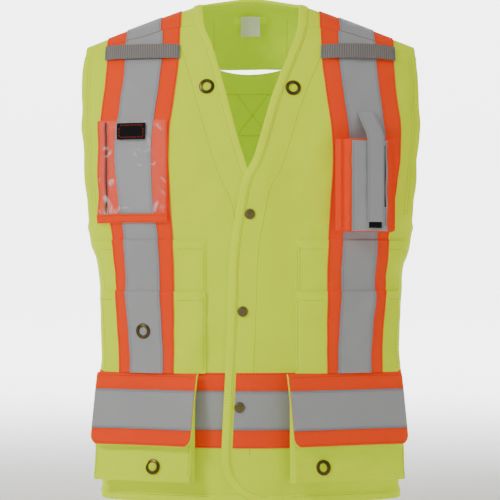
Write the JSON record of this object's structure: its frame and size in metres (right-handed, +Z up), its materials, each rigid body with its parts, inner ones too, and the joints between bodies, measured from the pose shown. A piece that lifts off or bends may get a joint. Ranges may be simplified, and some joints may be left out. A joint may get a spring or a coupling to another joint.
{
  "type": "high visibility vest",
  "caption": "Sleeveless snap-front safety vest with two-tone reflective tape, radio pouch, clear ID pocket, tool pockets and flapped cargo pockets.",
  "frame": {"origin": "midway between the neck points of the two shoulders, in the plane of the side seams", "axes": "+Z up, the wearer faces -Y, +X is the wearer's left"},
  "size_m": [0.466, 0.2738, 0.693],
  "materials": {
    "lime": "fluorescent yellow-green knitted polyester, matt",
    "orange": "fluorescent orange woven tape, matt",
    "silver": "silver glass-bead reflective tape, satin",
    "webbing": "grey ribbed webbing",
    "black": "black hook-and-loop patch",
    "label": "blank white woven label",
    "vinyl": "clear flexible vinyl",
    "bronze": "antique bronze, worn"
  },
  "bodies": {
    "back": {"back_yoke": "lime", "neck_binding": "lime", "back_panel": "lime", "back_hem_binding": "lime", "back_waist_orange": "orange", "back_waist_silver": "silver", "back_x_orange_left": "orange", "back_x_silver_left": "silver", "back_x_orange_right": "orange", "back_x_silver_right": "silver", "size_label": "label", "hang_loop": "lime"},
    "front_left": {"front_panel_left": "lime", "front_facing_left": "lime", "edge_binding_left": "lime", "waist_orange_left": "orange", "waist_silver_left": "silver", "brace_orange_left": "orange", "brace_silver_left": "silver", "tool_pocket_upper_left": "lime", "tool_pocket_lower_left": "lime", "mic_tab_left": "webbing", "cargo_pocket_left": "lime", "cargo_eyelet_left": "bronze", "neck_eyelet_left": "bronze", "radio_pouch": "orange", "radio_silver": "silver", "radio_loop_patch": "black", "snap_cap_top": "bronze", "snap_cap_middle": "bronze", "snap_cap_bottom": "bronze"},
    "front_right": {"front_panel_right": "lime", "front_facing_right": "lime", "edge_binding_right": "lime", "waist_orange_right": "orange", "waist_silver_right": "silver", "brace_orange_right": "orange", "brace_silver_right": "silver", "tool_pocket_upper_right": "lime", "tool_pocket_lower_right": "lime", "mic_tab_right": "webbing", "cargo_pocket_right": "lime", "cargo_eyelet_right": "bronze", "neck_eyelet_right": "bronze", "id_window": "vinyl", "id_bottom_band": "orange", "id_patch": "black", "tape_eyelet": "bronze", "snap_stud_top": "bronze", "snap_stud_middle": "bronze", "snap_stud_bottom": "bronze"},
    "flap_left": {"cargo_flap_left": "lime", "flap_orange_left": "orange", "flap_silver_left": "silver"},
    "flap_right": {"cargo_flap_right": "lime", "flap_orange_right": "orange", "flap_silver_right": "silver"},
    "radio_strap": {"radio_strap": "silver"}
  },
  "joints": [
    {"name": "left_front_open", "type": "hinge", "parent": "back", "child": "front_left", "pos_m": [0.2066, -0.014, -0.67822], "axis": [0.045, 0, 0.999], "range_deg": [0, 45]},
    {"name": "right_front_open", "type": "hinge", "parent": "back", "child": "front_right", "pos_m": [-0.2066, -0.014, -0.67822], "axis": [-0.045, 0, 0.999], "range_deg": [-20, 0]},
    {"name": "left_flap_lift", "type": "hinge", "parent": "front_left", "child": "flap_left", "pos_m": [0.05306, -0.12809, -0.50576], "axis": [-0.9239, -0.3827, 0], "range_deg": [0, 100]},
    {"name": "right_flap_lift", "type": "hinge", "parent": "front_right", "child": "flap_right", "pos_m": [-0.05306, -0.12809, -0.50576], "axis": [-0.9239, 0.3827, 0], "range_deg": [0, 100]},
    {"name": "radio_strap_lift", "type": "hinge", "parent": "front_left", "child": "radio_strap", "pos_m": [0.1677, -0.0907, -0.15222], "axis": [-0.9477, -0.3191, 0], "range_deg": [0, 100]}
  ],
  "couplings": [
    {"joint": "right_front_open", "follows": "left_front_open", "ratio": -0.4}
  ]
}
